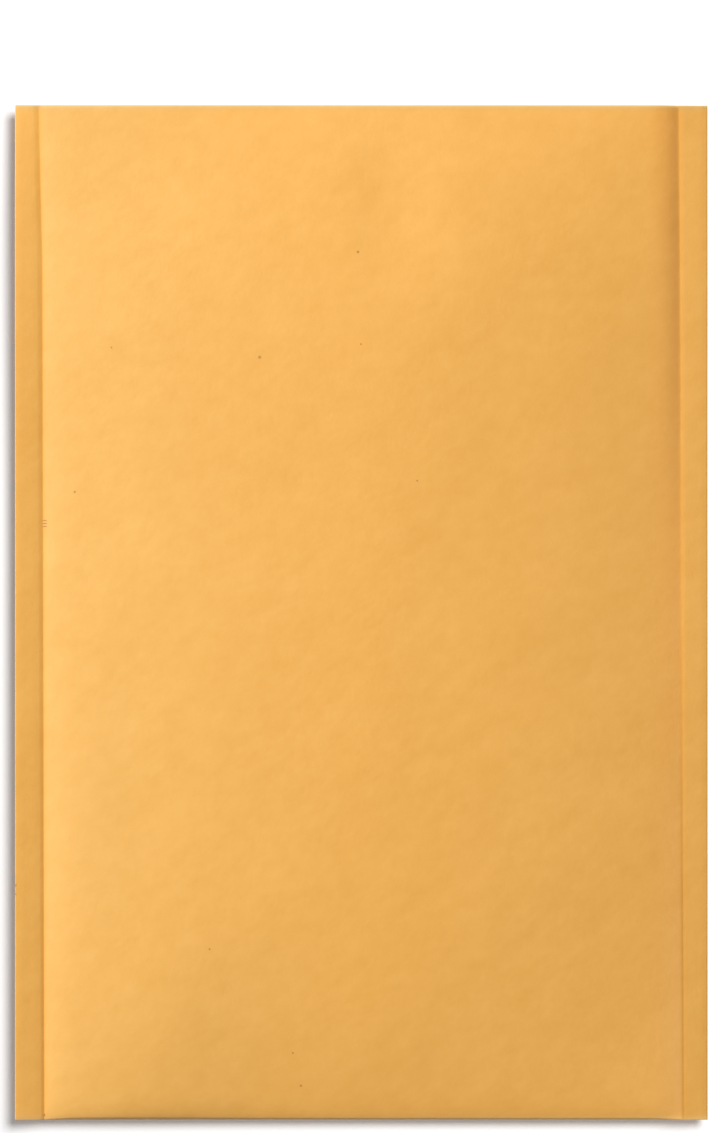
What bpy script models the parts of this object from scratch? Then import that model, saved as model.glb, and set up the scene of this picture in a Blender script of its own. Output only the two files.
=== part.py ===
"""A padded kraft envelope lying on its back, empty, with its flap folded behind it.

X runs across the envelope, Y from the bottom fold to the flap's fold, and Z up from the floor.
All sizes are in metres.
"""

import math

import bmesh
import bpy

# The envelope's outline
WIDTH = 0.2667
LENGTH = 0.3909

# Paper and padding
PAPER = 0.00015
LINER = 0.0032
POCKET = 0.0007
CROWN = 0.0065
GAP = 0.0003
SHOULDER = 0.0140
FRONT_SHOULDER_POWER = 3
BOTTOM_TAPER_LENGTH = 0.0090
BOTTOM_TAPER_POWER = 3
FRONT_DROP_AT_BOTTOM = 0.0010
BACK_RISE_AT_BOTTOM = 0.0035

# Bonded side seams, each a flat strip beside a creased groove
SEAM_THICKNESS = 0.0005
SEAM_CORE_INSET = 0.0003
GROOVE_WIDTH = 0.0018
GROOVE_DEPTH = 0.0003
SEAM_TAPER_LENGTH = 0.0600
LEFT_SEAM_HEIGHT = 0.0075
LEFT_STRIP_RISE_AT_BOTTOM = 0.0012
LEFT_SEAM_AT_TOP = 0.0093
LEFT_SEAM_AT_TAPER = 0.0108
LEFT_SEAM_AT_BOTTOM = 0.0114
RIGHT_SEAM_HEIGHT_AT_TOP = 0.0070
RIGHT_SEAM_HEIGHT_AT_BOTTOM = 0.0078
RIGHT_STRIP_DROOP = 0.0005
RIGHT_SEAM_AT_TOP = 0.0110
RIGHT_SEAM_AT_TAPER = 0.0103
RIGHT_SEAM_AT_BOTTOM = 0.0091

# The flap behind the mouth, and the two strips that it holds
FLAP_LENGTH = 0.0450
FLAP_FOLD_RADIUS = 0.0012
FOLD_SHARE_OF_ROOM = 0.45
MOUTH_SETBACK = 0.0030
BACK_LIFT_LENGTH = 0.0150
FRONT_LIFT_LENGTH = 0.1300
ADHESIVE_WIDTH = 0.0120
RELEASE_WIDTH = 0.0160
STRIP_SETBACK = 0.0080
STRIP_THICKNESS = 0.0001

# Colour and roughness of each material
FINISHES = {
    "golden_kraft": ((0.80, 0.42, 0.11), 0.62),
    "bubble_film": ((0.80, 0.82, 0.83), 0.30),
    "adhesive": ((0.86, 0.84, 0.76), 0.35),
    "release_paper": ((0.88, 0.88, 0.86), 0.40),
}

# Zones across the envelope from the left, each with its number of steps
ZONE_STEPS = {
    "left_strip": 1,
    "left_groove": 1,
    "left_shoulder": 4,
    "body": 10,
    "right_shoulder": 4,
    "right_groove": 1,
    "right_strip": 1,
}

# Steps of the other surfaces
STEPS_UP_PANEL = (2, 8, 4, 3)
FOLD_STEPS = 4
FLAP_STEPS = 3

FRONT = 1
BACK = -1
ZONES = list(ZONE_STEPS)
LEFT_GROOVE = ZONES.index("left_groove")
LEFT_CREASE = ZONES.index("left_shoulder")
RIGHT_CREASE = ZONES.index("right_groove")
RIGHT_STRIP = ZONES.index("right_strip")
BOTTOM = -LENGTH / 2
TOP = LENGTH / 2
TAPER_END = BOTTOM + BOTTOM_TAPER_LENGTH
MOUTH = TOP - MOUTH_SETBACK
FLAP_END = TOP - FLAP_LENGTH
BACK_LIFT_START = FLAP_END - BACK_LIFT_LENGTH
FLAP_CLEARANCE = 3 * GAP + 2 * STRIP_THICKNESS
LIFT = FLAP_CLEARANCE + PAPER
PAD_THICKNESS = 2 * (PAPER + GAP + LINER) + POCKET
WELD_DISTANCE = 1e-6
SMOOTH_ANGLE = math.radians(40)


def mix(start, end, share):
    return start + (end - start) * share


def clamp(value):
    return min(max(value, 0.0), 1.0)


def ease(share):
    """A smooth step from 0 to 1, level at both ends."""
    share = clamp(share)
    return share * share * (3 - 2 * share)


def evenly(start, end, steps):
    """The values from start to end in equal steps, without start itself."""
    return [mix(start, end, step / steps) for step in range(1, steps + 1)]


def places_across(first=0.0, last=float(len(ZONES))):
    """The places where the surfaces have a column of points.

    A place counts the zones from the left, so 2.5 is halfway across the left shoulder.
    """
    places = [0.0]
    for zone, steps in enumerate(ZONE_STEPS.values()):
        places += evenly(zone, zone + 1, steps)
    return [place for place in places if first <= place <= last]


def creases(y):
    """Where the two seams' creases run, at one distance along the envelope."""
    share = clamp((y - BOTTOM) / (LENGTH - SEAM_TAPER_LENGTH))
    taper = clamp((y - (TOP - SEAM_TAPER_LENGTH)) / SEAM_TAPER_LENGTH)
    left_seam = mix(LEFT_SEAM_AT_BOTTOM, LEFT_SEAM_AT_TAPER, share)
    right_seam = mix(RIGHT_SEAM_AT_BOTTOM, RIGHT_SEAM_AT_TAPER, share)
    left = -WIDTH / 2 + mix(left_seam, LEFT_SEAM_AT_TOP, taper)
    right = WIDTH / 2 - mix(right_seam, RIGHT_SEAM_AT_TOP, taper)
    return left, right


def across(place, y):
    """The X of a place across the envelope."""
    left, right = creases(y)
    limits = (
        -WIDTH / 2, left - GROOVE_WIDTH, left, left + SHOULDER,
        right - SHOULDER, right, right + GROOVE_WIDTH, WIDTH / 2,
    )
    zone = min(int(place), len(limits) - 2)
    return mix(limits[zone], limits[zone + 1], place - zone)


def seam_middle(place, y):
    """The height of a seam's middle, which dips into the groove at each crease."""
    down = (TOP - y) / LENGTH
    right_height = mix(RIGHT_SEAM_HEIGHT_AT_TOP, RIGHT_SEAM_HEIGHT_AT_BOTTOM, down)
    right_share = clamp((place - LEFT_CREASE) / (RIGHT_CREASE - LEFT_CREASE))
    from_crease = max(LEFT_CREASE - place, place - RIGHT_CREASE, 0.0)
    groove = GROOVE_DEPTH * clamp(1 - from_crease)
    rise = LEFT_STRIP_RISE_AT_BOTTOM * down * clamp(LEFT_GROOVE - place)
    droop = RIGHT_STRIP_DROOP * clamp(place - RIGHT_STRIP)
    height = mix(LEFT_SEAM_HEIGHT, right_height, right_share) + lift(y, FRONT_LIFT_LENGTH)
    return height + rise - droop - groove


def shoulder_share(place):
    """How far a place is across the shoulder: 0 in the seams, 1 in the body."""
    return clamp(min(place - LEFT_CREASE, RIGHT_CREASE - place))


def bottom_taper(y):
    """How strongly the pad thins towards the bottom fold."""
    return clamp((TAPER_END - y) / BOTTOM_TAPER_LENGTH) ** BOTTOM_TAPER_POWER


def lift(y, length):
    """How far the folded flap lifts a panel, growing over a length that ends at the flap."""
    return LIFT * ease(1 + (y - FLAP_END) / length)


def crown(place, y):
    """How far the front panel stands above a flat pad."""
    left, right = creases(y)
    aside = 2 * (across(place, y) - left) / (right - left) - 1
    along = 2 * y / LENGTH
    return CROWN * max(1 - aside ** 2, 0.0) * max(1 - along ** 4, 0.0)


def back_height(place, y):
    """The height of the back panel's outer face."""
    fullness = math.sin(shoulder_share(place) * math.pi / 2)
    pad_base = lift(y, BACK_LIFT_LENGTH) + BACK_RISE_AT_BOTTOM * bottom_taper(y)
    return mix(seam_middle(place, y) - SEAM_THICKNESS / 2, pad_base, fullness)


def front_height(place, y):
    """The height of the front panel's outer face."""
    fullness = 1 - (1 - shoulder_share(place)) ** FRONT_SHOULDER_POWER
    drop = FRONT_DROP_AT_BOTTOM * bottom_taper(y)
    pad_top = PAD_THICKNESS + lift(y, FRONT_LIFT_LENGTH) - drop
    flat = mix(seam_middle(place, y) + SEAM_THICKNESS / 2, pad_top, fullness)
    return flat + crown(place, y)


def flap_height(place, y):
    """The height of the flap's outer face, which lies on the floor under the body."""
    return back_height(place, y) - FLAP_CLEARANCE - PAPER


def middle(place, y):
    return (front_height(place, y) + back_height(place, y)) / 2


def outer_half(place, y):
    """Half of the envelope's whole thickness."""
    return (front_height(place, y) - back_height(place, y)) / 2


def liner_outer_half(place, y):
    return outer_half(place, y) - PAPER - GAP


def pocket_half(place, y):
    lift_difference = lift(y, FRONT_LIFT_LENGTH) - lift(y, BACK_LIFT_LENGTH)
    return (POCKET + crown(place, y) + lift_difference) / 2


def seam_core_half(_place, _y):
    """The seam's core reaches halfway into the paper on both sides."""
    return (SEAM_THICKNESS - PAPER) / 2


def panel_points(place, half, side, far_end):
    """One column of points, from the bottom fold's outermost line up one panel."""
    centre = BOTTOM + outer_half(place, BOTTOM)
    reach = half(place, BOTTOM)
    points = []
    for step in range(FOLD_STEPS):
        turn = step / FOLD_STEPS * math.pi / 2
        y = centre - reach * math.cos(turn)
        z = middle(place, y) + side * half(place, y) * math.sin(turn)
        points.append((across(place, y), y, z))
    rows = [centre]
    for stop, steps in zip((TAPER_END, BACK_LIFT_START, FLAP_END, far_end), STEPS_UP_PANEL):
        rows += evenly(rows[-1], stop, steps)
    for y in rows:
        points.append((across(place, y), y, middle(place, y) + side * half(place, y)))
    return points


def flap_points(place, depth):
    """One column of points round the mouth and down the flap, at a depth in the paper."""
    fold = flap_fold_radius(place)
    start = TOP - fold
    radius = fold - depth
    x = across(place, start)
    upper = front_height(place, start) - fold
    lower = flap_height(place, start) + fold
    points = []
    for step in range(1, FOLD_STEPS + 1):
        turn = step / FOLD_STEPS * math.pi / 2
        points.append((x, start + radius * math.sin(turn), upper + radius * math.cos(turn)))
    for step in range(FOLD_STEPS + 1):
        turn = step / FOLD_STEPS * math.pi / 2
        points.append((x, start + radius * math.cos(turn), lower - radius * math.sin(turn)))
    for y in evenly(start, FLAP_END, FLAP_STEPS):
        points.append((across(place, y), y, flap_height(place, y) + depth))
    return points


def flap_fold_radius(place):
    """The two bends round the mouth, which have less room in the thin seams."""
    room = front_height(place, TOP) - flap_height(place, TOP)
    return min(FLAP_FOLD_RADIUS, FOLD_SHARE_OF_ROOM * room)


def paper_skin(depth):
    """The whole sheet at a depth in its paper: back panel, front panel and flap."""

    def half(place, y):
        return outer_half(place, y) - depth

    skin = []
    for place in places_across():
        back = panel_points(place, half, BACK, MOUTH)
        front = panel_points(place, half, FRONT, TOP - flap_fold_radius(place))
        skin.append(back[::-1] + front[1:] + flap_points(place, depth))
    return skin


def panel_skin(places, half, side, far_end):
    return [panel_points(place, half, side, far_end) for place in places]


def material(name):
    """A plain Principled material."""
    colour, roughness = FINISHES[name]
    finish = bpy.data.materials.new(name)
    finish.use_nodes = True
    shader = finish.node_tree.nodes["Principled BSDF"]
    shader.inputs["Base Color"].default_value = (*colour, 1.0)
    shader.inputs["Roughness"].default_value = roughness
    shader.inputs["Metallic"].default_value = 0.0
    return finish


def solid_between(name, upper, lower, finish=None):
    """A closed body between two grids of as many points, joined round their borders."""
    mesh = bmesh.new()
    skins = [[[mesh.verts.new(point) for point in column] for column in grid]
             for grid in (upper, lower)]
    columns = len(upper) - 1
    rows = len(upper[0]) - 1
    for skin in skins:
        for column in range(columns):
            for row in range(rows):
                mesh.faces.new((
                    skin[column][row], skin[column + 1][row],
                    skin[column + 1][row + 1], skin[column][row + 1],
                ))
    border = [(column, 0) for column in range(columns)]
    border += [(columns, row) for row in range(rows)]
    border += [(column, rows) for column in range(columns, 0, -1)]
    border += [(0, row) for row in range(rows, 0, -1)]
    for here, after in zip(border, border[1:] + border[:1]):
        corners = ((0, here), (0, after), (1, after), (1, here))
        mesh.faces.new([skins[skin][column][row] for skin, (column, row) in corners])
    bmesh.ops.remove_doubles(mesh, verts=mesh.verts, dist=WELD_DISTANCE)
    bmesh.ops.recalc_face_normals(mesh, faces=mesh.faces)
    data = bpy.data.meshes.new(name)
    mesh.to_mesh(data)
    mesh.free()
    data.shade_smooth()
    data.set_sharp_from_angle(angle=SMOOTH_ANGLE)
    if finish:
        data.materials.append(finish)
    body = bpy.data.objects.new(name, data)
    bpy.context.scene.collection.objects.link(body)
    return body


def helper_solid(name, places, half, far_end):
    """A body that only shapes another one, and isn't a piece itself."""
    front = panel_skin(places, half, FRONT, far_end)
    back = panel_skin(places, half, BACK, far_end)
    body = solid_between(name, front, back)
    body.hide_render = True
    body.display_type = "WIRE"
    return body


def combine(body, operation, other):
    step = body.modifiers.new(other.name, "BOOLEAN")
    step.operation = operation
    step.solver = "EXACT"
    step.object = other


def build_kraft_envelope():
    """One folded sheet of paper, bonded to itself in both side seams."""
    finish = material("golden_kraft")
    body = solid_between("kraft_envelope", paper_skin(0.0), paper_skin(PAPER), finish)
    from_edge = SEAM_CORE_INSET / (RIGHT_SEAM_AT_BOTTOM - GROOVE_WIDTH)
    from_crease = SEAM_CORE_INSET / GROOVE_WIDTH
    left_core = [from_edge, LEFT_GROOVE, LEFT_CREASE - from_crease]
    right_core = [len(ZONES) - place for place in reversed(left_core)]
    for name, places in (("left_seam_core", left_core), ("right_seam_core", right_core)):
        combine(body, "UNION", helper_solid(name, places, seam_core_half, MOUTH))


def build_bubble_liner():
    """One web of bubble film, folded and welded into a pouch that is open at the mouth."""
    finish = material("bubble_film")
    shoulder_step = 1 / ZONE_STEPS["left_shoulder"]
    weld = places_across(LEFT_CREASE + shoulder_step, RIGHT_CREASE - shoulder_step)
    front = panel_skin(weld, liner_outer_half, FRONT, MOUTH)
    back = panel_skin(weld, liner_outer_half, BACK, MOUTH)
    body = solid_between("bubble_liner", front, back, finish)
    past_mouth = (MOUTH + TOP) / 2
    combine(body, "DIFFERENCE", helper_solid("pocket", weld[1:-1], pocket_half, past_mouth))


def build_strip(name, finish_name, width, level):
    """A thin strip across the flap, at a level above the flap's inner face."""
    middle_line = FLAP_END + STRIP_SETBACK + RELEASE_WIDTH / 2
    edges = (middle_line - width / 2, middle_line + width / 2)
    lower = []
    upper = []
    for place in places_across():
        foot = [(across(place, y), y, flap_height(place, y) + PAPER + level) for y in edges]
        lower.append(foot)
        upper.append([(x, y, z + STRIP_THICKNESS) for x, y, z in foot])
    solid_between(name, upper, lower, material(finish_name))


def build_flap_strips():
    """The adhesive on the flap's inner face, and the strip that covers it."""
    build_strip("adhesive_strip", "adhesive", ADHESIVE_WIDTH, GAP)
    build_strip("release_strip", "release_paper", RELEASE_WIDTH, 2 * GAP + STRIP_THICKNESS)


for old in list(bpy.data.objects):
    bpy.data.objects.remove(old)
build_kraft_envelope()
build_bubble_liner()
build_flap_strips()
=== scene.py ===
"""The looks of the padded kraft envelope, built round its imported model.

It lies on its back. X runs to the right across the front panel, Y from the bottom fold to the
flap's fold, and Z up. All sizes are in metres.
"""

import math

import bmesh
import bpy
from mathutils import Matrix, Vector, noise


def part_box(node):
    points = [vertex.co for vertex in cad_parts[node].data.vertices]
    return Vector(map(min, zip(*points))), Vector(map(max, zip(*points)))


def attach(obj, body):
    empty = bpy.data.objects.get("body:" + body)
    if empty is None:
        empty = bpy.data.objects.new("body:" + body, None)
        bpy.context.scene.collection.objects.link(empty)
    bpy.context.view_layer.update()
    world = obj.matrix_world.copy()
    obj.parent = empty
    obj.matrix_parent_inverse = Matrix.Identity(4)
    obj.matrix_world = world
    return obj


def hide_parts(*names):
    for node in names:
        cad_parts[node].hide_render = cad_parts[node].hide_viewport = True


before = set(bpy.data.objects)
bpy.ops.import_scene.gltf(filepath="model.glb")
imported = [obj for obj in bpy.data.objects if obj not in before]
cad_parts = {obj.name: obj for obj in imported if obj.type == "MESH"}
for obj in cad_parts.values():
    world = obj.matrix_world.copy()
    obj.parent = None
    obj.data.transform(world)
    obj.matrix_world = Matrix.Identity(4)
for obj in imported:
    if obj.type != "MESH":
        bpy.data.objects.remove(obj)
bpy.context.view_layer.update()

# The envelope's outline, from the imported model
ENVELOPE_LOW, ENVELOPE_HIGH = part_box("kraft_envelope")
LEFT_EDGE = ENVELOPE_LOW[0]
RIGHT_EDGE = ENVELOPE_HIGH[0]
BOTTOM = ENVELOPE_LOW[1]
TOP = ENVELOPE_HIGH[1]
LENGTH = TOP - BOTTOM
WIDTH = RIGHT_EDGE - LEFT_EDGE

# Paper and padding: their thicknesses, the space between two layers, and the front's crown
PAPER = 0.00015
LINER = 0.0032
POCKET = 0.0007
GAP = 0.0003
CROWN = 0.0065
CROWN_POWER_ACROSS = 2
CROWN_POWER_ALONG = 4

# The shoulders beside the seams, and how the pad thins towards the bottom fold
SHOULDER = 0.0140
FRONT_SHOULDER_POWER = 3
BOTTOM_TAPER_LENGTH = 0.0130
BOTTOM_TAPER_POWER = 4
FRONT_DROP_AT_BOTTOM = 0.0008
BACK_RISE_AT_BOTTOM = 0.0056

# Both bonded seams, flat strips beside creased grooves. Their width changes most near the top.
SEAM_THICKNESS = 0.0005
SEAM_CORE_INSET = 0.0003
SEAM_TAPER_LENGTH = 0.0600
GROOVE_WIDTH_AT_TOP = 0.0022
GROOVE_WIDTH_AT_BOTTOM = 0.0013
GROOVE_POWER = 1.3
CREASE_ROUNDING = 0.0006
CUT_EDGE_WIDTH = 0.0004
CUT_EDGE_BEND = 0.00015

# The left seam. Its strip's rise towards the edge grows fast below the top, then slowly.
LEFT_SEAM_HEIGHT = 0.0075
LEFT_GROOVE_DEPTH = 0.00027
LEFT_STRIP_RISE = 0.0016
EARLY_RISE_SHARE = 0.65
EARLY_RISE_LENGTH = 0.0600
LEFT_SEAM_AT_TOP = 0.0090
LEFT_SEAM_AT_TAPER = 0.0104
LEFT_SEAM_AT_BOTTOM = 0.0111

# The right seam, which lies lower at the top. On the lower half, a step takes over its groove.
RIGHT_SEAM_HEIGHT_AT_TOP = 0.00605
RIGHT_SEAM_HEIGHT = 0.0077
RIGHT_SEAM_RISE_START = 0.02
RIGHT_SEAM_RISE_SHARE = 0.55
RIGHT_GROOVE_DEPTH = 0.00008
RIGHT_STRIP_DROOP = 0.0006
RIGHT_STEP_DEPTH = 0.0002
STEP_WIDTH = 0.0012
STEP_START = 0.45
STEP_GROWTH = 0.35
RIGHT_SEAM_AT_TOP = 0.0110
RIGHT_SEAM_AT_TAPER = 0.0105
RIGHT_SEAM_AT_BOTTOM = 0.0092

# The flap and the two strips that it holds
FLAP_LENGTH = 0.0450
FLAP_FOLD_RADIUS = 0.0012
FOLD_SHARE_OF_ROOM = 0.45
MOUTH_SETBACK = 0.0030
BACK_LIFT_LENGTH = 0.0150
FRONT_LIFT_LENGTH = 0.1300
ADHESIVE_WIDTH = 0.0120
RELEASE_WIDTH = 0.0160
STRIP_SETBACK = 0.0080
STRIP_THICKNESS = 0.0001

# The liner, a folded web of bubble film that is welded along both sides
FILM = 0.0001
WELD_THICKNESS = 0.00025
WELD_WIDTH = 0.0030
LINER_INSET = 0.0015
LINER_FOLD_START = 0.0040
LINER_FOLD_REACH = 0.0025
LINER_CROWDING = 0.85
BUBBLE_RADIUS = 0.0047
BUBBLE_HEIGHT = 0.0028
BUBBLE_PITCH = 0.0105
BUBBLE_MARGIN = 0.0120
BUBBLE_SIDES = 10
BUBBLE_RINGS = 3

# Relief of the front panel: a roll beside the left crease, and soft clouds and ripples
ROLL_WIDTH = 0.0280
ROLL_HEIGHT = 0.0011
ROLL_POWER = 3
CLOUD_RELIEF = 0.00012
CLOUD_SIZE = 0.028
CLOUD_STRETCH = 1.8
CLOUD_ANGLE = math.radians(38)
RIPPLE_RELIEF = 0.00003
RIPPLE_SIZE = 0.009

# Swells and a dip of the front: a pixel of the photograph, half width, half length, height
SWELLS = [
    ((165, 1010), 0.020, 0.028, 0.0016),
    ((85, 830), 0.010, 0.040, 0.0004),
    ((395, 200), 0.012, 0.020, -0.0009),
]

# Kraft paper's colours, and what multiplies them: painted shade, sheen and highlight, and fold
# lines
KRAFT_DARK = (0.795, 0.382, 0.064, 1.0)
KRAFT_LIGHT = (0.895, 0.464, 0.102, 1.0)
UNTINTED = Vector((1.0, 1.0, 1.0))
# Painted shade: a deeper tone along both creases
CREASE_SHADE_TINT = Vector((1.07, 1.0, 0.86))
CREASE_SHADE_WIDTH = 0.0015
TOP_FOLD_TINT = Vector((0.76, 1.0, 1.9))
TOP_FOLD_TINT_WIDTH = 0.0018
# Right shoulder: painted shade at the top, turning to a painted pale sheen at the bottom
SHOULDER_SHADE_AT_TOP = Vector((1.10, 0.99, 0.95))
SHOULDER_SHEEN_AT_BOTTOM = Vector((1.0, 1.0, 1.25))
# Painted highlight: the left of the body paler, where the key light falls strongest
LEFT_HIGHLIGHT_TINT = Vector((0.95, 1.0, 1.13))
LEFT_HIGHLIGHT_WIDTH = 0.1200
# Bottom fold's line: partly wear, partly painted shade at the left and painted light at the
# right
BOTTOM_WEAR_AND_SHADE_AT_LEFT = Vector((0.90, 1.0, 1.70))
BOTTOM_WEAR_AND_LIGHT_AT_RIGHT = Vector((1.14, 1.38, 2.30))
BOTTOM_TINT_WIDTH = 0.0022
BOTTOM_TINT_POWER = 2

# Kraft paper's texture. Each noise has the size of its features, how finely these break up,
# and how far they are drawn out, and each relief has a strength and a depth.
KRAFT_CLOUDS = {"size": 0.030, "detail": 3.0, "roughness": 0.8, "stretch": 1.8}
KRAFT_PULP = {"size": 0.006, "detail": 4.0, "roughness": 0.65, "stretch": 1.3}
KRAFT_GRAIN = {"size": 0.003, "detail": 4.0, "roughness": 0.7}
KRAFT_RELIEF = (1.0, 0.00009)
KRAFT_ROUGHNESS = 0.55
PULP_SHARE = 0.5
TONE_SPAN = (0.24, 0.76)

# Dark paper flecks, and painted shade in edge nicks, each a pixel of the photograph and its
# radius there
FLECK_AND_SHADE_COLOUR = (0.30, 0.13, 0.03, 1.0)
FLECKS_AND_NICK_SHADE = [
    ((358, 253), 0.0007), ((260, 358), 0.0008), ((361, 345), 0.0005), ((75, 492), 0.0006),
    ((417, 481), 0.0005), ((112, 348), 0.0005), ((301, 1085), 0.0006), ((293, 1052), 0.0005),
    # The last three are nicks, painted as shade
    ((210, 948), 0.0005), ((15.8, 885), 0.0007), ((15.8, 894), 0.0005), ((44.3, 1115), 0.0006),
]

# A pinched spot of the left crease, its three small creases drawn as dashes of painted shade
PINCH_COLUMN = 45.0
PINCH_ROWS = (520.5, 523.5, 526.5)
PINCH_RADIUS = 0.0004
PINCH_STRETCH = 3.5

# Finishes of the pieces inside
FILM_COLOUR = (0.86, 0.88, 0.89, 1.0)
FILM_TRANSMISSION = 0.85
FILM_CLEAREST = 0.10
FILM_HAZIEST = 0.32
FILM_HAZE = {"size": 0.020, "detail": 3.0}
FILM_CREASES = {"size": 0.004, "detail": 3.0, "roughness": 0.6}
FILM_RELIEF = (0.6, 0.0001)
ADHESIVE_DARK = (0.72, 0.68, 0.52, 1.0)
ADHESIVE_LIGHT = (0.86, 0.83, 0.70, 1.0)
ADHESIVE_ROUGHNESS = 0.25
ADHESIVE_LINES = {"size": 0.0012, "detail": 2.0, "stretch": 30.0}
ADHESIVE_RELIEF = (0.7, 0.0001)
RELEASE_DARK = (0.78, 0.78, 0.76, 1.0)
RELEASE_LIGHT = (0.88, 0.88, 0.86, 1.0)
RELEASE_COAT = 0.3
RELEASE_ROUGHNESS = 0.35
RELEASE_FIBRES = {"size": 0.0015, "detail": 4.0, "roughness": 0.7, "stretch": 2.0}
RELEASE_RELIEF = (0.4, 0.00005)

# Zones across the envelope, and their steps. Those of the shoulders crowd towards the creases.
ZONE_STEPS = {
    "left_edge": 3,
    "left_strip": 3,
    "left_groove": 6,
    "left_shoulder": 14,
    "body": 84,
    "right_shoulder": 14,
    "right_groove": 6,
    "right_strip": 3,
    "right_edge": 3,
}
SHOULDER_SPACING = 1.6

# Steps of the other surfaces. A panel has four stretches, counted from the bottom upwards.
FRONT_STEPS = (8, 110, 10, 28)
BACK_STEPS = (8, 30, 6, 8)
LINER_STEPS = (4, 40, 6, 8)
LINER_STEPS_ACROSS = 64
STRIP_STEPS = 8
FOLD_STEPS = 8
FLAP_STEPS = 12
CORE_STEPS = 60

TINT = "tint"
FRONT = 1
BACK = -1
ZONES = list(ZONE_STEPS)
LEFT_SHOULDER = ZONES.index("left_shoulder")
RIGHT_SHOULDER = ZONES.index("right_shoulder")
TAPER_END = BOTTOM + BOTTOM_TAPER_LENGTH
MOUTH = TOP - MOUTH_SETBACK
FLAP_END = TOP - FLAP_LENGTH
BACK_LIFT_START = FLAP_END - BACK_LIFT_LENGTH
FLAP_CLEARANCE = 3 * GAP + 2 * STRIP_THICKNESS
LIFT = FLAP_CLEARANCE + PAPER
PAD_THICKNESS = 2 * (PAPER + GAP + LINER) + POCKET
WELD_DISTANCE = 1e-6
SMOOTH_ANGLE = math.radians(45)

# The photograph in its own pixels, with the envelope's centre and width in it, and the camera
PHOTO_SIZE = (710, 1133)
PHOTO_CENTRE = (361.5, 612.6)
PHOTO_WIDTH_OF_ENVELOPE = 692.2
METRES_PER_PIXEL = WIDTH / PHOTO_WIDTH_OF_ENVELOPE
CAMERA_HEIGHT = 1.9
SENSOR = 36.0
NEAREST_SEEN = 0.01

# Studio: a soft key on the object from the upper left, and a lamp that only lights the floor
KEY_AZIMUTH = 147
KEY_ELEVATION = 37
KEY_DISTANCE = 3.5
KEY_SIZE = 1.2
KEY_LEVEL = 0.90
FLOOR_LAMP_AZIMUTH = 47
FLOOR_LAMP_ELEVATION = 61
FLOOR_LAMP_DISTANCE = 3.2
FLOOR_LAMP_SIZE = 1.5
FLOOR_LAMP_LEVEL = 0.90
WORLD_LEVEL = 0.12
FLOOR_SIZE = 6.0
FLOOR_DROP = 0.0001
FLOOR_GLOW = 0.20
FLOOR_COLOUR = (0.9, 0.9, 0.9, 1.0)
FLOOR_ROUGHNESS = 0.9
WHITE = (1.0, 1.0, 1.0, 1.0)


def mix(start, end, share):
    """The value at a share of the way from start to end."""
    return start + (end - start) * share


def clamp(value):
    """The value, kept between 0 and 1."""
    return min(max(value, 0.0), 1.0)


def ease(share):
    """A smooth step from 0 to 1, level at both ends."""
    share = clamp(share)
    return share * share * (3 - 2 * share)


def evenly(start, end, steps):
    """The values from start to end in equal steps, without start itself."""
    return [mix(start, end, step / steps) for step in range(1, steps + 1)]


def creases(y):
    """Where the two seams' creases run, at one distance along the envelope."""
    share = clamp((y - BOTTOM) / (LENGTH - SEAM_TAPER_LENGTH))
    taper = clamp((y - (TOP - SEAM_TAPER_LENGTH)) / SEAM_TAPER_LENGTH)
    left_seam = mix(LEFT_SEAM_AT_BOTTOM, LEFT_SEAM_AT_TAPER, share)
    right_seam = mix(RIGHT_SEAM_AT_BOTTOM, RIGHT_SEAM_AT_TAPER, share)
    left = LEFT_EDGE + mix(left_seam, LEFT_SEAM_AT_TOP, taper)
    right = RIGHT_EDGE - mix(right_seam, RIGHT_SEAM_AT_TOP, taper)
    return left, right


def groove_width(y):
    """How wide the groove beside each crease is, at one distance along the envelope."""
    return mix(GROOVE_WIDTH_AT_BOTTOM, GROOVE_WIDTH_AT_TOP, (y - BOTTOM) / LENGTH)


def column_at(place):
    """A line along the envelope, as a function from Y to X.

    A place counts the zones from the left, so 3.5 lies inside the left shoulder.
    """
    zone = min(int(place), len(ZONES) - 1)
    share = place - zone
    if zone == LEFT_SHOULDER:
        share = share ** SHOULDER_SPACING
    if zone == RIGHT_SHOULDER:
        share = 1 - (1 - share) ** SHOULDER_SPACING

    def column(y):
        left, right = creases(y)
        groove = groove_width(y)
        limits = (
            LEFT_EDGE, LEFT_EDGE + CUT_EDGE_WIDTH, left - groove, left, left + SHOULDER,
            right - SHOULDER, right, right + groove, RIGHT_EDGE - CUT_EDGE_WIDTH, RIGHT_EDGE,
        )
        return mix(limits[zone], limits[zone + 1], share)

    return column


def columns_across():
    """The lines along the envelope from its left edge to its right edge."""
    places = [0.0]
    for zone, steps in enumerate(ZONE_STEPS.values()):
        places += evenly(zone, zone + 1, steps)
    return [column_at(place) for place in places]


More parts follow.
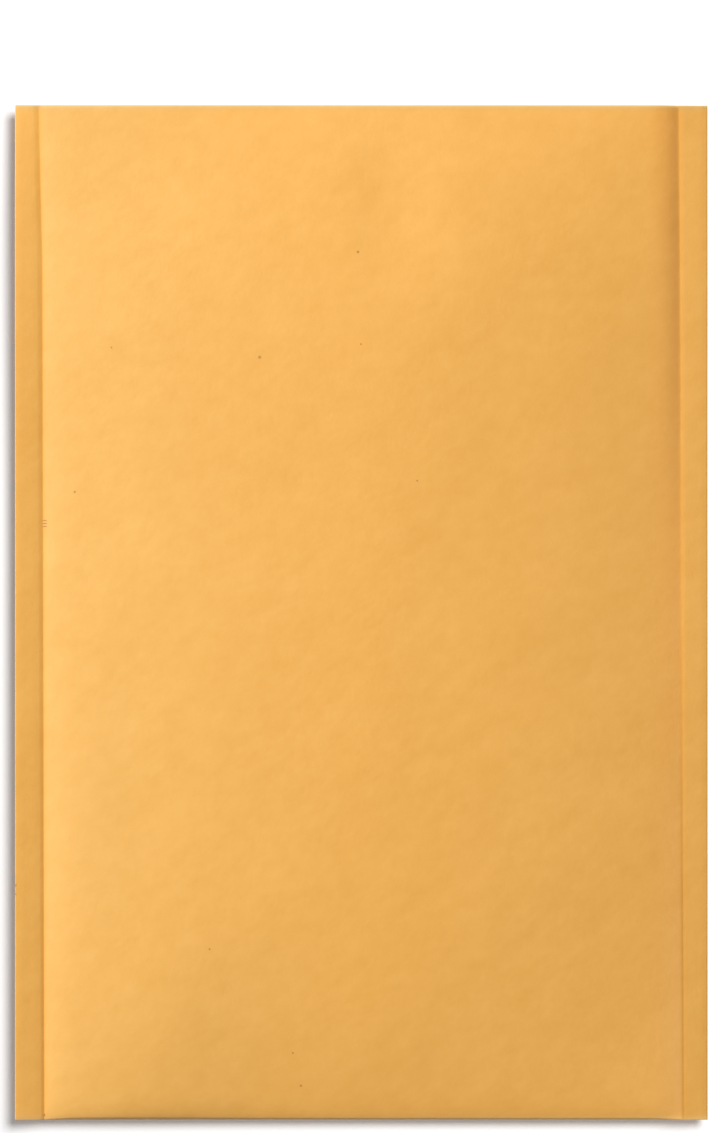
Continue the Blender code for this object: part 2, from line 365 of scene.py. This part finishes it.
def seam_middle(x, y):
    """The height of a seam's middle, which dips into the groove at each crease."""
    left, right = creases(y)
    rightward = clamp((x - left) / (right - left))
    down = (TOP - y) / LENGTH
    lower_share = ease((down - RIGHT_SEAM_RISE_START) / RIGHT_SEAM_RISE_SHARE)
    right_height = mix(RIGHT_SEAM_HEIGHT_AT_TOP, RIGHT_SEAM_HEIGHT, lower_share)
    height = mix(LEFT_SEAM_HEIGHT, right_height, rightward) + lift(y, FRONT_LIFT_LENGTH)
    outside = max(left - x, x - right, 0.0)
    depth = mix(LEFT_GROOVE_DEPTH, RIGHT_GROOVE_DEPTH * (1 - step_growth(y)), rightward)
    groove = depth * clamp(1 - outside / groove_width(y)) ** GROOVE_POWER
    early = 1 - clamp(1 - (TOP - y) / EARLY_RISE_LENGTH) ** 2
    rise = LEFT_STRIP_RISE * mix(down, early, EARLY_RISE_SHARE)
    rise *= clamp((left - x) / (left - LEFT_EDGE))
    droop = RIGHT_STRIP_DROOP * clamp((x - right) / (RIGHT_EDGE - right))
    from_edge = min(x - LEFT_EDGE, RIGHT_EDGE - x)
    bend = CUT_EDGE_BEND * clamp(1 - from_edge / CUT_EDGE_WIDTH) ** 2
    return height + rise - droop - groove - bend


def shoulder_share(x, y):
    """How far a point is across the shoulder: 0 in the seams, 1 in the body."""
    left, right = creases(y)
    return clamp(min(x - left, right - x) / SHOULDER)


def bottom_taper(y):
    """How strongly the pad thins towards the bottom fold."""
    return clamp((TAPER_END - y) / BOTTOM_TAPER_LENGTH) ** BOTTOM_TAPER_POWER


def lift(y, length):
    """How far the folded flap lifts a panel, growing over a length that ends at the flap."""
    return LIFT * ease(1 + (y - FLAP_END) / length)


def crown(x, y):
    """How far the front panel stands above a flat pad."""
    left, right = creases(y)
    aside = 2 * (x - left) / (right - left) - 1
    along = 2 * y / LENGTH
    across_share = max(1 - abs(aside) ** CROWN_POWER_ACROSS, 0.0)
    along_share = max(1 - abs(along) ** CROWN_POWER_ALONG, 0.0)
    return CROWN * across_share * along_share


def left_roll(x, y):
    """A soft roll beside the left crease, which grows towards the bottom."""
    aside = max(x - creases(y)[0], 0.0) / ROLL_WIDTH
    return ROLL_HEIGHT * ((TOP - y) / LENGTH) ** ROLL_POWER * aside * math.exp(1 - aside)


def step_growth(y):
    """How far the step beside the right seam has grown, from 0 at the top to 1."""
    return ease(((TOP - y) / LENGTH - STEP_START) / STEP_GROWTH)


def right_step(x, y):
    """A narrow step up from the right seam, on the lower half of the envelope."""
    left, right = creases(y)
    aside = max(right - x, 0.0) / STEP_WIDTH
    height = RIGHT_STEP_DEPTH * step_growth(y) * (1 - clamp(1 - aside) ** 2)
    return height * clamp((x - left) / (right - left))


def softened(x, y):
    """X as the front panel takes it, which rounds the panel's start at both creases."""
    left, right = creases(y)
    for crease, side in ((left, 1), (right, -1)):
        inside = side * (x - crease)
        if 0 < inside < (right - left) / 2:
            return crease + side * (math.hypot(inside, CREASE_ROUNDING) - CREASE_ROUNDING)
    return x


def from_photo(pixel):
    """The place that the photograph shows at one of its pixels."""
    x = (pixel[0] - PHOTO_CENTRE[0]) * METRES_PER_PIXEL
    y = (PHOTO_CENTRE[1] - pixel[1]) * METRES_PER_PIXEL
    return x, y


def swells(x, y):
    """The swells and the dip of the front panel, which stop before the bottom fold."""
    total = 0.0
    for pixel, half_width, half_length, height in SWELLS:
        middle_x, middle_y = from_photo(pixel)
        distance = ((x - middle_x) / half_width) ** 2 + ((y - middle_y) / half_length) ** 2
        total += height * math.exp(-distance / 2)
    return total * (1 - bottom_taper(y))


def relief(x, y):
    """Soft clouds in the front panel, drawn out along one diagonal."""
    along = x * math.cos(CLOUD_ANGLE) + y * math.sin(CLOUD_ANGLE)
    aside = y * math.cos(CLOUD_ANGLE) - x * math.sin(CLOUD_ANGLE)
    clouds = noise.noise(Vector((along / CLOUD_STRETCH, aside, 0.0)) / CLOUD_SIZE)
    ripples = noise.noise(Vector((along / CLOUD_STRETCH, aside, 1.0)) / RIPPLE_SIZE)
    return CLOUD_RELIEF * clouds + RIPPLE_RELIEF * ripples


def back_height(x, y):
    """The height of the back panel's outer face."""
    fullness = math.sin(shoulder_share(x, y) * math.pi / 2)
    pad_base = lift(y, BACK_LIFT_LENGTH) + BACK_RISE_AT_BOTTOM * bottom_taper(y)
    return mix(seam_middle(x, y) - SEAM_THICKNESS / 2, pad_base, fullness)


def front_height(x, y):
    """The height of the front panel's outer face."""
    seam_top = seam_middle(x, y) + SEAM_THICKNESS / 2
    step = right_step(x, y)
    x = softened(x, y)
    fullness = 1 - (1 - shoulder_share(x, y)) ** FRONT_SHOULDER_POWER
    drop = FRONT_DROP_AT_BOTTOM * bottom_taper(y)
    pad_top = PAD_THICKNESS + lift(y, FRONT_LIFT_LENGTH) - drop + relief(x, y) + swells(x, y)
    return mix(seam_top, pad_top, fullness) + crown(x, y) + left_roll(x, y) + step


def flap_height(x, y):
    """The height of the flap's outer face, which lies on the floor under the body."""
    return back_height(x, y) - FLAP_CLEARANCE - PAPER


def middle_height(x, y):
    """The height halfway between the back and front panels."""
    return (front_height(x, y) + back_height(x, y)) / 2


def half_thickness(x, y):
    """Half the envelope's thickness at one place, without its flap."""
    return (front_height(x, y) - back_height(x, y)) / 2


def liner_half(x, y):
    """Half the liner's thickness, which shrinks to a flat weld along both sides."""
    left, right = creases(y)
    past_weld = min(x - left, right - x) - LINER_INSET - WELD_WIDTH
    inside_paper = half_thickness(x, y) - PAPER - GAP
    return mix(WELD_THICKNESS / 2, inside_paper, ease(past_weld / WELD_WIDTH))


def web_points(column, side, half_at, fold, far_end, steps):
    """One column of points, from a folded web's bottom line up one of its panels.

    The fold is given by where its bend starts and how far it reaches from there.
    """
    fold_start, fold_reach = fold
    rows = [(fold_start, 1.0)]
    for stop, count in zip((TAPER_END, BACK_LIFT_START, FLAP_END, far_end), steps):
        rows += [(y, 1.0) for y in evenly(rows[-1][0], stop, count)]
    turns = [step / FOLD_STEPS * math.pi / 2 for step in range(FOLD_STEPS)]
    bend = [(fold_start - fold_reach * math.cos(turn), math.sin(turn)) for turn in turns]
    points = []
    for y, share in bend + rows:
        x = column(y)
        points.append((x, y, middle_height(x, y) + side * half_at(x, y) * share))
    return points


def flap_fold_radius(column):
    """The radius of both bends round the mouth, which have less room in the thin seams."""
    x = column(TOP)
    room = front_height(x, TOP) - flap_height(x, TOP)
    return min(FLAP_FOLD_RADIUS, FOLD_SHARE_OF_ROOM * room)


def flap_points(column, depth):
    """One column of points round the mouth and down the flap, at a depth in the paper."""
    fold = flap_fold_radius(column)
    start = TOP - fold
    radius = fold - depth
    x = column(start)
    upper = front_height(x, start) - fold
    lower = flap_height(x, start) + fold
    points = []
    for step in range(1, FOLD_STEPS + 1):
        turn = step / FOLD_STEPS * math.pi / 2
        points.append((x, start + radius * math.sin(turn), upper + radius * math.cos(turn)))
    for step in range(FOLD_STEPS + 1):
        turn = step / FOLD_STEPS * math.pi / 2
        points.append((x, start + radius * math.cos(turn), lower - radius * math.sin(turn)))
    for y in evenly(start, FLAP_END, FLAP_STEPS):
        points.append((column(y), y, flap_height(column(y), y) + depth))
    return points


def paper_skin(depth):
    """The whole sheet at a depth in its paper: back panel, front panel and flap."""

    def half(x, y):
        return half_thickness(x, y) - depth

    skin = []
    for column in columns_across():
        room = half_thickness(column(BOTTOM), BOTTOM)
        fold = (BOTTOM + room, room - depth)
        front_end = TOP - flap_fold_radius(column)
        back = web_points(column, BACK, half, fold, MOUTH, BACK_STEPS)
        front = web_points(column, FRONT, half, fold, front_end, FRONT_STEPS)
        skin.append(back[::-1] + front[1:] + flap_points(column, depth))
    return skin


def liner_column(share):
    """A line along the liner, as a function from Y to X. The lines crowd towards the sides."""
    share -= LINER_CROWDING * math.sin(2 * math.pi * share) / (2 * math.pi)

    def column(y):
        left, right = creases(y)
        return mix(left + LINER_INSET, right - LINER_INSET, share)

    return column


def liner_skin(depth):
    """One face of the liner's film, at a depth below its outer face."""

    def half(x, y):
        return liner_half(x, y) - depth

    fold = (BOTTOM + LINER_FOLD_START, LINER_FOLD_REACH - depth)
    skin = []
    for share in [0.0] + evenly(0.0, 1.0, LINER_STEPS_ACROSS):
        column = liner_column(share)
        back = web_points(column, BACK, half, fold, MOUTH, LINER_STEPS)
        front = web_points(column, FRONT, half, fold, MOUTH, LINER_STEPS)
        skin.append(back[::-1] + front[1:])
    return skin


def bubble_places():
    """The middles of the bubbles, in rows that are offset by half a pitch."""
    row_pitch = BUBBLE_PITCH * math.sqrt(3) / 2
    rows = int((MOUTH - TAPER_END - BUBBLE_MARGIN) / row_pitch)
    places = []
    for row in range(rows):
        y = TAPER_END + row * row_pitch
        left, right = creases(y)
        x = LEFT_EDGE + (row % 2) * BUBBLE_PITCH / 2
        while x < right - BUBBLE_MARGIN:
            if x > left + BUBBLE_MARGIN:
                places.append((x, y))
            x += BUBBLE_PITCH
    return places


def add_bubble(mesh, x, y, side):
    """Adds one bubble to the inside of the front or back film, its rim within the film."""

    def point(turn, rise):
        reach = BUBBLE_RADIUS * math.cos(rise)
        at = (x + reach * math.cos(turn), y + reach * math.sin(turn))
        inward = FILM / 2 + BUBBLE_HEIGHT * math.sin(rise)
        return mesh.verts.new((*at, middle_height(*at) + side * (liner_half(*at) - inward)))

    rings = []
    for ring in range(BUBBLE_RINGS):
        rise = ring / BUBBLE_RINGS * math.pi / 2
        turns = [step / BUBBLE_SIDES * 2 * math.pi for step in range(BUBBLE_SIDES)]
        rings.append([point(turn, rise) for turn in turns])
    tip = point(0.0, math.pi / 2)
    for step in range(BUBBLE_SIDES):
        after = (step + 1) % BUBBLE_SIDES
        for low, high in zip(rings, rings[1:]):
            mesh.faces.new((low[step], low[after], high[after], high[step]))
        mesh.faces.new((rings[-1][step], rings[-1][after], tip))


def strip_skins(width, level):
    """The two faces of a thin strip across the flap, at a level above its inner face."""
    middle_line = FLAP_END + STRIP_SETBACK + RELEASE_WIDTH / 2
    start = middle_line - width / 2
    rows = [start] + evenly(start, start + width, STRIP_STEPS)
    lower = []
    for column in columns_across():
        lower.append([(column(y), y, flap_height(column(y), y) + PAPER + level) for y in rows])
    upper = [[(x, y, z + STRIP_THICKNESS) for x, y, z in line] for line in lower]
    return upper, lower


def core_skins(borders_at):
    """The two faces of the bond between the papers of one seam, halfway into each paper.

    The bond's left and right borders are given as a function of Y.
    """
    half = (SEAM_THICKNESS - PAPER) / 2
    upper = []
    lower = []
    for border in (0, 1):
        rows = evenly(BOTTOM + SEAM_THICKNESS, MOUTH, CORE_STEPS)
        line = [(borders_at(y)[border], y) for y in rows]
        upper.append([(x, y, seam_middle(x, y) + half) for x, y in line])
        lower.append([(x, y, seam_middle(x, y) - half) for x, y in line])
    return upper, lower


def add_shell(mesh, upper, lower):
    """Adds a closed shell between two grids of as many points, joined round their borders."""
    skins = []
    for grid in (upper, lower):
        skins.append([[mesh.verts.new(point) for point in column] for column in grid])
    columns = len(upper) - 1
    rows = len(upper[0]) - 1
    for skin in skins:
        for column in range(columns):
            for row in range(rows):
                mesh.faces.new((
                    skin[column][row], skin[column + 1][row],
                    skin[column + 1][row + 1], skin[column][row + 1],
                ))
    border = [(column, 0) for column in range(columns)]
    border += [(columns, row) for row in range(rows)]
    border += [(column, rows) for column in range(columns, 0, -1)]
    border += [(0, row) for row in range(rows, 0, -1)]
    for here, after in zip(border, border[1:] + border[:1]):
        corners = ((0, here), (0, after), (1, after), (1, here))
        mesh.faces.new([skins[skin][column][row] for skin, (column, row) in corners])


def finish_mesh(name, mesh, material):
    """Makes a smooth object of a mesh that has been drawn."""
    bmesh.ops.remove_doubles(mesh, verts=mesh.verts, dist=WELD_DISTANCE)
    bmesh.ops.recalc_face_normals(mesh, faces=mesh.faces)
    data = bpy.data.meshes.new(name)
    mesh.to_mesh(data)
    mesh.free()
    data.shade_smooth()
    data.set_sharp_from_angle(angle=SMOOTH_ANGLE)
    data.materials.append(material)
    body = bpy.data.objects.new(name, data)
    bpy.context.scene.collection.objects.link(body)
    return body


def stand_for(body, node):
    """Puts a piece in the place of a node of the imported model."""
    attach(body, "root")
    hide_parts(node)


class Finish:
    """A Principled material, with short ways to add the nodes that it needs."""

    def __init__(self, name, roughness, specular=0.5):
        self.material = bpy.data.materials.new(name)
        self.material.use_nodes = True
        self.tree = self.material.node_tree
        self.shader = self.tree.nodes["Principled BSDF"]
        self.shader.inputs["Roughness"].default_value = roughness
        self.shader.inputs["Specular IOR Level"].default_value = specular
        self.place = self.tree.nodes.new("ShaderNodeTexCoord").outputs["Object"]

    def add(self, kind, settings=None, **inputs):
        """Adds a node. Each input is given a value, or the output that it is linked to."""
        node = self.tree.nodes.new(kind)
        for name, value in (settings or {}).items():
            setattr(node, name, value)
        for name, value in inputs.items():
            socket = node.inputs[name.replace("_", " ")]
            if isinstance(value, bpy.types.NodeSocket):
                self.tree.links.new(value, socket)
            else:
                socket.default_value = value
        return node

    def link(self, output, name):
        """Links an output to one of the shader's own inputs."""
        self.tree.links.new(output, self.shader.inputs[name])

    def noise(self, size, detail=2.0, roughness=0.5, stretch=1.0, angle=0.0):
        """Noise with features of about one size, which may be drawn out along one direction."""
        turned = self.add(
            "ShaderNodeMapping", {"vector_type": "TEXTURE"},
            Vector=self.place, Rotation=(0.0, 0.0, angle), Scale=(stretch, 1.0, 1.0),
        )
        return self.add(
            "ShaderNodeTexNoise",
            Vector=turned.outputs["Vector"], Scale=1 / size, Detail=detail, Roughness=roughness,
        ).outputs["Fac"]

    def tones(self, share, dark, light, span=(0.0, 1.0)):
        """A colour that goes from dark to light while the share crosses the span."""
        node = self.add("ShaderNodeValToRGB", Fac=share)
        for element, position, colour in zip(node.color_ramp.elements, span, (dark, light)):
            element.position = position
            element.color = colour
        return node.outputs["Color"]

    def relief(self, height, strength, depth):
        """Fine relief of the surface, linked to the shader."""
        bump = self.add("ShaderNodeBump", Strength=strength, Distance=depth, Height=height)
        self.link(bump.outputs["Normal"], "Normal")


def largest(tree, outputs):
    """The largest of several values in a node tree."""
    total = outputs[0]
    for output in outputs[1:]:
        step = tree.nodes.new("ShaderNodeMath")
        step.operation = "MAXIMUM"
        tree.links.new(total, step.inputs[0])
        tree.links.new(output, step.inputs[1])
        total = step.outputs["Value"]
    return total


def fleck_and_shade_mask(finish):
    """1 in the middle of each dark fleck, and of each nick's and dash's painted shade, fading
    to 0 at its border.
    """
    dark_marks = [(pixel, radius, 1.0) for pixel, radius in FLECKS_AND_NICK_SHADE]
    dark_marks += [((PINCH_COLUMN, row), PINCH_RADIUS, PINCH_STRETCH) for row in PINCH_ROWS]
    spots = []
    for pixel, radius, stretch in dark_marks:
        x, y = from_photo(pixel)
        inside = finish.add(
            "ShaderNodeMapping", {"vector_type": "TEXTURE"}, Vector=finish.place,
            Location=(x, y, front_height(x, y)), Scale=(stretch * radius, radius, radius),
        )
        away = finish.add("ShaderNodeVectorMath", {"operation": "LENGTH"})
        finish.tree.links.new(inside.outputs["Vector"], away.inputs["Vector"])
        spot = finish.add(
            "ShaderNodeMapRange", Value=away.outputs["Value"], To_Min=1.0, To_Max=0.0,
        )
        spots.append(spot.outputs["Result"])
    return largest(finish.tree, spots)


def kraft_finish():
    """Golden kraft paper: cloudy pulp, fine grain, specks, a worn bottom fold, painted shade
    and light.
    """
    finish = Finish("golden_kraft", KRAFT_ROUGHNESS)
    clouds = finish.noise(**KRAFT_CLOUDS, angle=CLOUD_ANGLE)
    pulp = finish.noise(**KRAFT_PULP, angle=CLOUD_ANGLE)
    blend = finish.add(
        "ShaderNodeMix", {"data_type": "FLOAT"}, Factor=PULP_SHARE, A=clouds, B=pulp,
    )
    paper = finish.tones(blend.outputs["Result"], KRAFT_DARK, KRAFT_LIGHT, TONE_SPAN)
    flecked_and_shaded = finish.add(
        "ShaderNodeMix", {"data_type": "RGBA"},
        Factor=fleck_and_shade_mask(finish), A=paper, B=FLECK_AND_SHADE_COLOUR,
    )
    tint = finish.add("ShaderNodeAttribute", {"attribute_name": TINT})
    tinted = finish.add(
        "ShaderNodeMix", {"data_type": "RGBA", "blend_type": "MULTIPLY"},
        Factor=1.0, A=flecked_and_shaded.outputs["Result"], B=tint.outputs["Color"],
    )
    finish.link(tinted.outputs["Result"], "Base Color")
    finish.relief(finish.noise(**KRAFT_GRAIN), *KRAFT_RELIEF)
    return finish.material


def film_finish():
    """Clear polyethylene film with the faint creases and haze of a handled sheet."""
    finish = Finish("bubble_film", FILM_CLEAREST)
    finish.shader.inputs["Base Color"].default_value = FILM_COLOUR
    finish.shader.inputs["Transmission Weight"].default_value = FILM_TRANSMISSION
    haze = finish.add(
        "ShaderNodeMapRange",
        Value=finish.noise(**FILM_HAZE), To_Min=FILM_CLEAREST, To_Max=FILM_HAZIEST,
    )
    finish.link(haze.outputs["Result"], "Roughness")
    finish.relief(finish.noise(**FILM_CREASES), *FILM_RELIEF)
    return finish.material


def adhesive_finish():
    """Clear hot-melt adhesive, with the lines that its nozzle leaves along the strip."""
    finish = Finish("adhesive", ADHESIVE_ROUGHNESS)
    lines = finish.noise(**ADHESIVE_LINES)
    finish.link(finish.tones(lines, ADHESIVE_DARK, ADHESIVE_LIGHT), "Base Color")
    finish.relief(lines, *ADHESIVE_RELIEF)
    return finish.material


def release_finish():
    """White release paper: a sheen from its coating over fine paper fibres."""
    finish = Finish("release_paper", RELEASE_ROUGHNESS)
    fibres = finish.noise(**RELEASE_FIBRES)
    finish.link(finish.tones(fibres, RELEASE_DARK, RELEASE_LIGHT), "Base Color")
    finish.shader.inputs["Coat Weight"].default_value = RELEASE_COAT
    finish.relief(fibres, *RELEASE_RELIEF)
    return finish.material


def tint_at(point):
    """What the kraft colour is multiplied by at one point of the sheet.

    The left of the body is a little paler, a painted highlight where the key light falls. The
    right shoulder gets painted shade at the top, turning to a painted pale sheen at the bottom.
    Creases get painted shade, a deeper tone. The top fold gets a greyer tan line, and the
    bottom fold a pale line, partly wear and partly painted light and shade.
    """
    x, y, z = point
    left, right = creases(y)
    left_highlight = 0.0
    shoulder = 0.0
    if left < x < right:
        left_highlight = clamp(1 - (x - left) / LEFT_HIGHLIGHT_WIDTH)
        shoulder = clamp(1 - (right - x) / SHOULDER)
    crease = clamp(1 - min(abs(x - left), abs(x - right)) / CREASE_SHADE_WIDTH)
    from_top_fold = math.hypot(TOP - y, front_height(x, TOP) - z)
    top_fold = clamp(1 - from_top_fold / TOP_FOLD_TINT_WIDTH)
    bottom_fold = clamp(1 - (y - BOTTOM) / BOTTOM_TINT_WIDTH)
    upward = (y - BOTTOM) / LENGTH
    rightward = ((x - LEFT_EDGE) / WIDTH) ** BOTTOM_TINT_POWER
    changes = (
        (SHOULDER_SHEEN_AT_BOTTOM.lerp(SHOULDER_SHADE_AT_TOP, upward), shoulder),
        (LEFT_HIGHLIGHT_TINT, left_highlight),
        (CREASE_SHADE_TINT, crease),
        (TOP_FOLD_TINT, top_fold),
        (BOTTOM_WEAR_AND_SHADE_AT_LEFT.lerp(BOTTOM_WEAR_AND_LIGHT_AT_RIGHT, rightward), bottom_fold),
    )
    tint = UNTINTED
    for colour, share in changes:
        tint = tint.lerp(colour, share)
    return (*tint, 1.0)


def paint_tint(sheet):
    """Stores the tint at each point of the sheet, for its finish to read."""
    layer = sheet.data.color_attributes.new(TINT, "FLOAT_COLOR", "POINT")
    for vertex, spot in zip(sheet.data.vertices, layer.data):
        spot.color = tint_at(vertex.co)


def left_core_borders(y):
    """Where the left seam's bond starts and ends across, at one distance along."""
    return LEFT_EDGE + SEAM_CORE_INSET, creases(y)[0] - SEAM_CORE_INSET


def right_core_borders(y):
    """Where the right seam's bond starts and ends across, at one distance along."""
    return creases(y)[1] + SEAM_CORE_INSET, RIGHT_EDGE - SEAM_CORE_INSET


def build_kraft_sheet():
    """The folded paper sheet, with the bond that fills each side seam."""
    mesh = bmesh.new()
    add_shell(mesh, paper_skin(0.0), paper_skin(PAPER))
    add_shell(mesh, *core_skins(left_core_borders))
    add_shell(mesh, *core_skins(right_core_borders))
    sheet = finish_mesh("kraft_sheet", mesh, kraft_finish())
    paint_tint(sheet)
    stand_for(sheet, "kraft_envelope")
    return sheet


def build_bubble_pouch():
    """The folded film inside the paper, with its bubbles on the inner side."""
    mesh = bmesh.new()
    add_shell(mesh, liner_skin(0.0), liner_skin(FILM))
    for x, y in bubble_places():
        add_bubble(mesh, x, y, FRONT)
        add_bubble(mesh, x, y, BACK)
    pouch = finish_mesh("bubble_pouch", mesh, film_finish())
    stand_for(pouch, "bubble_liner")
    return pouch


def build_strip(name, node, width, level, material):
    """A thin strip across the flap's inner face."""
    mesh = bmesh.new()
    add_shell(mesh, *strip_skins(width, level))
    strip = finish_mesh(name, mesh, material)
    stand_for(strip, node)
    return strip


def build_adhesive_line():
    """The line of adhesive, which lies just above the flap's paper."""
    return build_strip(
        "adhesive_line", "adhesive_strip", ADHESIVE_WIDTH, GAP, adhesive_finish(),
    )


def build_release_liner():
    """The peel-off strip, which covers the adhesive."""
    level = 2 * GAP + STRIP_THICKNESS
    return build_strip(
        "release_liner", "release_strip", RELEASE_WIDTH, level,
        release_finish(),
    )


def direction(azimuth, elevation):
    """A unit vector, with the azimuth counted from +X towards +Y."""
    turn = math.radians(azimuth)
    rise = math.radians(elevation)
    return Vector((
        math.cos(rise) * math.cos(turn), math.cos(rise) * math.sin(turn), math.sin(rise),
    ))


def lamp(name, azimuth, elevation, distance, size, level, lit):
    """A round soft lamp that brings a level surface to a share of its own colour."""
    light = bpy.data.lights.new(name, "AREA")
    light.shape = "DISK"
    light.size = size
    light.energy = level * (math.pi * distance) ** 2 / math.sin(math.radians(elevation))
    holder = bpy.data.objects.new(name, light)
    toward = direction(azimuth, elevation)
    holder.location = toward * distance
    holder.rotation_euler = (-toward).to_track_quat("-Z", "Y").to_euler()
    bpy.context.scene.collection.objects.link(holder)
    receivers = bpy.data.collections.new(name + "_lights")
    for body in lit:
        receivers.objects.link(body)
    holder.light_linking.receiver_collection = receivers


def seen_directly(tree):
    """1 for the rays that show the background, and 0 for those that light the object."""
    path = tree.nodes.new("ShaderNodeLightPath")
    names = ("Is Camera Ray", "Is Glossy Ray", "Is Transmission Ray")
    return largest(tree, [path.outputs[name] for name in names])


def build_floor():
    """A white floor that keeps the shadow, and is a little brighter where it is seen."""
    half = FLOOR_SIZE / 2
    mesh = bpy.data.meshes.new("floor")
    corners = [(-half, -half), (half, -half), (half, half), (-half, half)]
    mesh.from_pydata([(x, y, -FLOOR_DROP) for x, y in corners], [], [range(len(corners))])
    floor = bpy.data.objects.new("floor", mesh)
    bpy.context.scene.collection.objects.link(floor)
    finish = Finish("floor_white", FLOOR_ROUGHNESS, specular=0.0)
    finish.shader.inputs["Base Color"].default_value = FLOOR_COLOUR
    finish.shader.inputs["Emission Color"].default_value = WHITE
    glow = finish.add("ShaderNodeMath", {"operation": "MULTIPLY"})
    finish.tree.links.new(seen_directly(finish.tree), glow.inputs[0])
    glow.inputs[1].default_value = FLOOR_GLOW
    finish.link(glow.outputs["Value"], "Emission Strength")
    mesh.materials.append(finish.material)
    return floor


def build_world():
    """An even white surround, dim as a light and white as a background."""
    world = bpy.data.worlds.new("studio")
    world.use_nodes = True
    tree = world.node_tree
    background = tree.nodes["Background"]
    background.inputs["Color"].default_value = WHITE
    strength = tree.nodes.new("ShaderNodeMapRange")
    tree.links.new(seen_directly(tree), strength.inputs["Value"])
    strength.inputs["To Min"].default_value = WORLD_LEVEL
    tree.links.new(strength.outputs["Result"], background.inputs["Strength"])
    bpy.context.scene.world = world


def build_camera():
    """Straight above the envelope, framed as the photograph is."""
    lens = bpy.data.cameras.new("camera")
    lens.sensor_width = SENSOR
    lens.lens = SENSOR * CAMERA_HEIGHT / (PHOTO_SIZE[1] * METRES_PER_PIXEL)
    lens.clip_start = NEAREST_SEEN
    camera = bpy.data.objects.new("camera", lens)
    aside = (PHOTO_SIZE[0] / 2 - PHOTO_CENTRE[0]) * METRES_PER_PIXEL
    along = (PHOTO_CENTRE[1] - PHOTO_SIZE[1] / 2) * METRES_PER_PIXEL
    camera.location = (aside, along, CAMERA_HEIGHT + LEFT_SEAM_HEIGHT)
    bpy.context.scene.collection.objects.link(camera)
    bpy.context.scene.camera = camera


bpy.context.scene.view_settings.view_transform = "Standard"
pieces = [
    build_kraft_sheet(),
    build_bubble_pouch(),
    build_adhesive_line(),
    build_release_liner(),
]
floor = build_floor()
build_world()
lamp("key", KEY_AZIMUTH, KEY_ELEVATION, KEY_DISTANCE, KEY_SIZE, KEY_LEVEL, pieces)
lamp(
    "floor_lamp", FLOOR_LAMP_AZIMUTH, FLOOR_LAMP_ELEVATION, FLOOR_LAMP_DISTANCE,
    FLOOR_LAMP_SIZE, FLOOR_LAMP_LEVEL, [floor],
)
build_camera()
